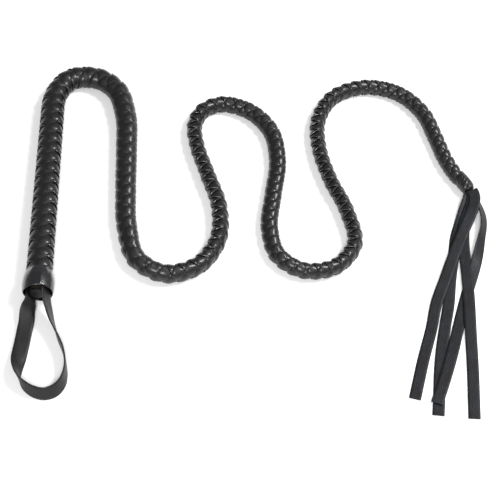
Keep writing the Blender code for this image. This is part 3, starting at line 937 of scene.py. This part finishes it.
# --- knot and tails ---
@dataclass
class TipKnot:
    """The hitch that ends the plait: the strips wound round each other and drawn tight."""

    line: WhipLine
    radius: float = 0.0077
    band_width: float = 0.0052
    band_thickness: float = 0.0013
    band_slant: float = 0.0030  # how far a band leans along the knot on its way round
    band_points: int = 84
    end_dip: float = 0.0006  # how far a band's two ends are drawn in
    pitch: float = 0.0118 / 3.3  # along the knot for one turn of a band
    around: int = 28

    def axis(self, at: np.ndarray) -> tuple[np.ndarray, np.ndarray, np.ndarray]:
        """Points and right and upward directions, straight on from the thong's end."""
        ends = self.line.points(np.array([self.line.knot_at - 0.002, self.line.knot_at]))
        heading = ends[1] - ends[0]
        heading[2] = 0.0
        heading /= np.linalg.norm(heading)
        start = ends[1].copy()
        start[2] = self.radius
        right = np.cross(heading, (0.0, 0.0, 1.0))
        return start + np.outer(at, heading), right, np.array([0.0, 0.0, 1.0])

    def build(self, leather: bpy.types.Material) -> None:
        """The wound bands over a rounded body, as one piece."""
        shape = bmesh.new()
        # distance along the knot and share of its radius
        body = (
            (-0.0030, 0.30), (-0.0024, 0.72), (0.0010, 0.84), (0.0030, 0.86), (0.0060, 0.86),
            (0.0110, 0.88), (0.0150, 0.86), (0.0172, 0.72), (0.0180, 0.15),
        )
        angles = np.linspace(0.0, 2 * math.pi, self.around, endpoint=False)
        centre, right, up = self.axis(np.array([b[0] for b in body]))
        rings = []
        for middle, (_, share) in zip(centre, body):
            r = self.radius * share * (1 + 0.03 * np.sin(4 * angles + middle[0] * 900))
            rings.append(middle + np.outer(r * np.cos(angles), right) + np.outer(r * np.sin(angles), up))
        self.add_tube(shape, np.array(rings))
        self.add_tube(shape, self.band(0.0008, 0.0146, start_turn=0.10, inner=0.0))
        self.add_tube(shape, self.band(0.0034, 0.0158, start_turn=0.62, inner=0.0004))
        bmesh.ops.recalc_face_normals(shape, faces=shape.faces[:])
        mesh = bpy.data.meshes.new("hitch_knot")
        shape.to_mesh(mesh)
        shape.free()
        piece = dress(add_piece(mesh), leather)
        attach(piece, "tassel")
        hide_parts("tip_knot")
        log.info("%s built", piece.name)

    def band(self, first: float, last: float, start_turn: float, inner: float) -> np.ndarray:
        """One strip wound round the knot.

        Args:
            first: Where along the knot it starts.
            last: Where it ends.
            start_turn: The angle that it starts at, as a share of a turn.
            inner: How far under the knot's radius it lies.

        Returns:
            The band's rings of points.
        """
        share = np.linspace(0.0, 1.0, self.band_points)
        angle = 2 * math.pi * (start_turn - (last - first) / self.pitch * share)
        lean = self.band_slant * np.sin(angle + 1.9)
        at = first + (last - first) * share + lean
        centre, right, up = self.axis(at)
        radius = self.radius - self.band_thickness / 2 - inner - self.end_dip * (2 * share - 1) ** 4
        out = np.outer(np.cos(angle), right) + np.outer(np.sin(angle), up)
        heading = self.axis(np.array([0.0, 1.0]))[0]
        heading = heading[1] - heading[0]
        half, thick = self.band_width / 2, self.band_thickness / 2
        # across the band and, in half thicknesses, out from its middle
        section = (
            (-half, 0.2), (-half * 0.85, 1.0), (-half * 0.3, 1.25), (half * 0.3, 1.1), (half * 0.85, 0.7),
            (half, 0.0), (half * 0.8, -1.0), (-half * 0.8, -1.0),
        )
        rings = [
            centre + out * (radius + thick * level)[:, None] + heading * across
            for across, level in section
        ]
        return np.stack(rings, axis=1)

    def add_tube(self, shape: bmesh.types.BMesh, rings: np.ndarray) -> None:
        """Add rings of points to a mesh as a closed tube."""
        points = [shape.verts.new(p) for p in rings.reshape(-1, 3)]
        for face in tube_faces(len(rings), rings.shape[1]):
            shape.faces.new([points[i] for i in face])


@dataclass(frozen=True)
class TailShape:
    """One tail's middle line, and how it is turned on its way."""

    name: str
    body: str
    route: tuple[tuple[float, float, float], ...]
    leans: tuple[tuple[float, float], ...]  # degrees from lying flat, at distances from the knot


@dataclass
class Tails:
    """The free ends of the four strips, cut straight."""

    line: WhipLine
    knot: TipKnot
    width: float = 0.0118
    thickness: float = 0.0014
    points: int = 130
    bend_over: float = 0.020  # from the knot to where a tail can move with its own body
    shapes: tuple[TailShape, ...] = (
        TailShape(
            "tail_a",
            "left_tail",
            (
                (0.4405, 0.0569, 0.0104), (0.4424, 0.0505, 0.0100), (0.4400, 0.0370, 0.0090),
                (0.4340, 0.0220, 0.0074), (0.4265, 0.0060, 0.0058), (0.4190, -0.0110, 0.0048),
                (0.4110, -0.0300, 0.0036), (0.4035, -0.0490, 0.0030), (0.3965, -0.0660, 0.0026),
                (0.3935, -0.0740, 0.0024), (0.3905, -0.0840, 0.0014), (0.3865, -0.1010, 0.0007),
                (0.3750, -0.1390, 0.0007), (0.3630, -0.1830, 0.0007),
            ),
            ((0.0, -6.0), (0.04, 3.0), (0.12, 0.0)),
        ),
        TailShape(
            "tail_b",
            "tassel",
            (
                (0.4393, 0.0588, 0.0068), (0.4362, 0.0495, 0.0060), (0.4312, 0.0370, 0.0038),
                (0.4255, 0.0210, 0.0016), (0.4200, 0.0050, 0.0007), (0.4155, -0.0180, 0.0007),
                (0.4095, -0.0480, 0.0007), (0.4048, -0.0780, 0.0007), (0.3995, -0.1010, 0.0007),
                (0.3935, -0.1290, 0.0007), (0.3840, -0.2010, 0.0007),
            ),
            ((0.0, 0.0), (0.012, 20.0), (0.045, 0.0)),
        ),
        TailShape(
            "tail_c",
            "tassel",
            (
                (0.4393, 0.0588, 0.0050), (0.4440, 0.0500, 0.0040), (0.4478, 0.0400, 0.0026),
                (0.4500, 0.0270, 0.0012), (0.4490, 0.0150, 0.0007), (0.4445, -0.0030, 0.0007),
                (0.4395, -0.0210, 0.0007), (0.4340, -0.0380, 0.0007), (0.4265, -0.0590, 0.0007),
                (0.4131, -0.1010, 0.0007), (0.4085, -0.1165, 0.0016), (0.4050, -0.1285, 0.0026),
                (0.3930, -0.1640, 0.0026), (0.3835, -0.1890, 0.0026),
            ),
            ((0.0, 0.0), (0.015, 48.0), (0.055, 52.0), (0.095, 12.0), (0.13, 0.0)),
        ),
        TailShape(
            "tail_d",
            "right_tail",
            (
                (0.4405, 0.0569, 0.0086), (0.4405, 0.0490, 0.0079), (0.4360, 0.0350, 0.0062),
                (0.4300, 0.0190, 0.0044), (0.4275, 0.0030, 0.0030), (0.4265, -0.0150, 0.0025),
                (0.4263, -0.0430, 0.0025), (0.4255, -0.0750, 0.0025), (0.4241, -0.1010, 0.0025),
                (0.4237, -0.1090, 0.0021), (0.4231, -0.1240, 0.0011), (0.4225, -0.1380, 0.0007),
                (0.4180, -0.2050, 0.0007),
            ),
            ((0.0, 0.0),),
        ),
    )

    def build(self, leather: bpy.types.Material) -> None:
        ends, _, _ = self.knot.axis(np.array([0.0, 1.0]))
        heading = tuple(ends[1] - ends[0])
        for shape in self.shapes:
            fine = smooth_route(shape.route, start_heading=heading)
            long = distances(fine)[-1]
            at = np.linspace(0.0, long, self.points)
            line = resample(fine, at)
            where, degrees = zip(*shape.leans)
            leans = np.radians(np.interp(at, where, degrees))
            low = (self.width * np.abs(np.sin(leans)) + self.thickness * np.cos(leans)) / 2
            line[:, 2] = np.maximum(line[:, 2], low)
            strip = Ribbon(self.width, self.thickness)
            piece = strip.build(f"{shape.name}_strip", line, leans)
            dress(piece, leather)
            if shape.body == "tassel":
                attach(piece, "tassel")
            else:
                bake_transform(piece)
            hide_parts(shape.name)
            log.info("%s: %.3f m long", piece.name, long)


# --- inner pieces ---
@dataclass
class InnerPieces:
    """The pieces inside, which keep their own shapes and get their own finishes."""

    wood: tuple[str, ...] = ("handle_dowel",)
    cotton: tuple[str, ...] = ("core_root", *(f"thong_core_{n}" for n in range(1, 6)))
    thread: tuple[str, ...] = ("butt_binding", "splice_binding")
    steel: tuple[str, ...] = ("strap_tack_left", "strap_tack_right")
    leather: tuple[str, ...] = ("butt_plug", "strip_bundle")

    def dress(self, strap_leather: bpy.types.Material) -> None:
        """Put each inner piece's finish on it."""
        cotton = TwistedCord("cotton_filler_cord", "b9ad96", "8c806b", 22.6, 0.36).make()
        thread = TwistedCord("waxed_black_thread", "2a2928", "121211", 10.0, 0.16, 0.6).make()
        finishes = (
            (self.wood, StainedBeech().make()),
            (self.cotton, cotton),
            (self.thread, thread),
            (self.steel, BrightSteel().make()),
            (self.leather, strap_leather),
        )
        for names, material in finishes:
            for name in names:
                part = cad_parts[name]
                part.data.materials.clear()
                part.data.materials.append(material)
            log.info("%s: %s", material.name, ", ".join(names))


# --- studio ---
@dataclass
class Studio:
    """A plain pale floor, soft light from the upper right, and the camera."""

    target: tuple[float, float, float] = (0.2075, -0.008, 0.0)
    distance: float = 1.5
    elevation_degrees: float = 56.0
    heading_degrees: float = -0.85
    lens_mm: float = 105.4
    sensor_mm: float = 36.0

    def build_floor(self) -> None:
        """The floor, which is white paper."""
        bpy.ops.mesh.primitive_plane_add(size=14.0, location=(0.0, 0.0, 0.0))
        floor = bpy.context.object
        floor.name = "studio_floor"
        material, tree, shader = blank_material("white_paper")
        place = node(tree, "ShaderNodeTexCoord").outputs["Object"]
        fibre = node(tree, "ShaderNodeTexNoise", {"Scale": 900.0}, {"Vector": place})
        bump = node(
            tree, "ShaderNodeBump", {"Strength": 0.05, "Distance": 0.00005}, {"Height": fibre.outputs["Fac"]}
        )
        tree.links.new(bump.outputs["Normal"], shader.inputs["Normal"])
        shader.inputs["Base Color"].default_value = linear("f7f7f7")
        shader.inputs["Roughness"].default_value = 0.9
        floor.data.materials.append(material)

    def add_light(self, name: str, place: tuple, size: float, watts: float) -> None:
        """A square soft light that faces the middle of the whip."""
        data = bpy.data.lights.new(name, "AREA")
        data.shape = "SQUARE"
        data.size = size
        data.energy = watts
        lamp = bpy.data.objects.new(name, data)
        lamp.location = place
        aim = Vector(self.target) - Vector(place)
        lamp.rotation_euler = aim.to_track_quat("-Z", "Y").to_euler()
        bpy.context.scene.collection.objects.link(lamp)

    def build_lights(self) -> None:
        """A key from the upper right, a weak fill, and a white room all round."""
        self.add_light("key_light", (1.5, 0.45, 1.7), 0.7, 46.0)
        self.add_light("fill_light", (0.0, -1.7, 2.1), 1.0, 62.0)
        world = bpy.data.worlds.new("white_room")
        world.use_nodes = True
        background = world.node_tree.nodes["Background"]
        background.inputs["Color"].default_value = linear("ffffff")
        background.inputs["Strength"].default_value = 0.30
        bpy.context.scene.world = world

    def build_camera(self) -> None:
        """The camera, looking down along the handle."""
        elevation = math.radians(self.elevation_degrees)
        heading = math.radians(self.heading_degrees)
        forward = Vector(
            (
                -math.sin(heading) * math.cos(elevation),
                math.cos(heading) * math.cos(elevation),
                -math.sin(elevation),
            )
        )
        data = bpy.data.cameras.new("camera")
        data.lens = self.lens_mm
        data.sensor_width = self.sensor_mm
        camera = bpy.data.objects.new("camera", data)
        camera.location = Vector(self.target) - forward * self.distance
        camera.rotation_euler = forward.to_track_quat("-Z", "Y").to_euler()
        bpy.context.scene.collection.objects.link(camera)
        bpy.context.scene.camera = camera
        bpy.context.scene.view_settings.view_transform = "Standard"


def main() -> None:
    """Build the whip's looks around its CAD frame, sub-assembly by sub-assembly."""
    logging.basicConfig(level=logging.INFO, format="%(message)s")
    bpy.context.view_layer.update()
    studio = Studio()
    studio.build_camera()
    line = WhipLine()
    plait = FourStripPlait(line)
    hides = {hide: hide.value.make() for hide in Hide}
    Thong(line, plait).build(hides[Hide.PLAIT], hides[Hide.CUT_EDGE_GLINT])
    handle = Handle(line, plait)
    handle.build_plait(hides[Hide.PLAIT], hides[Hide.CUT_EDGE_GLINT])
    handle.build_cap(hides[Hide.GLAZED])
    WristLoop(line).build(hides[Hide.STRAP])
    knot = TipKnot(line)
    knot.build(hides[Hide.PLAIT])
    Tails(line, knot).build(hides[Hide.TAIL])
    InnerPieces().dress(hides[Hide.STRAP])
    studio.build_floor()
    studio.build_lights()


if __name__ == "__main__":
    main()
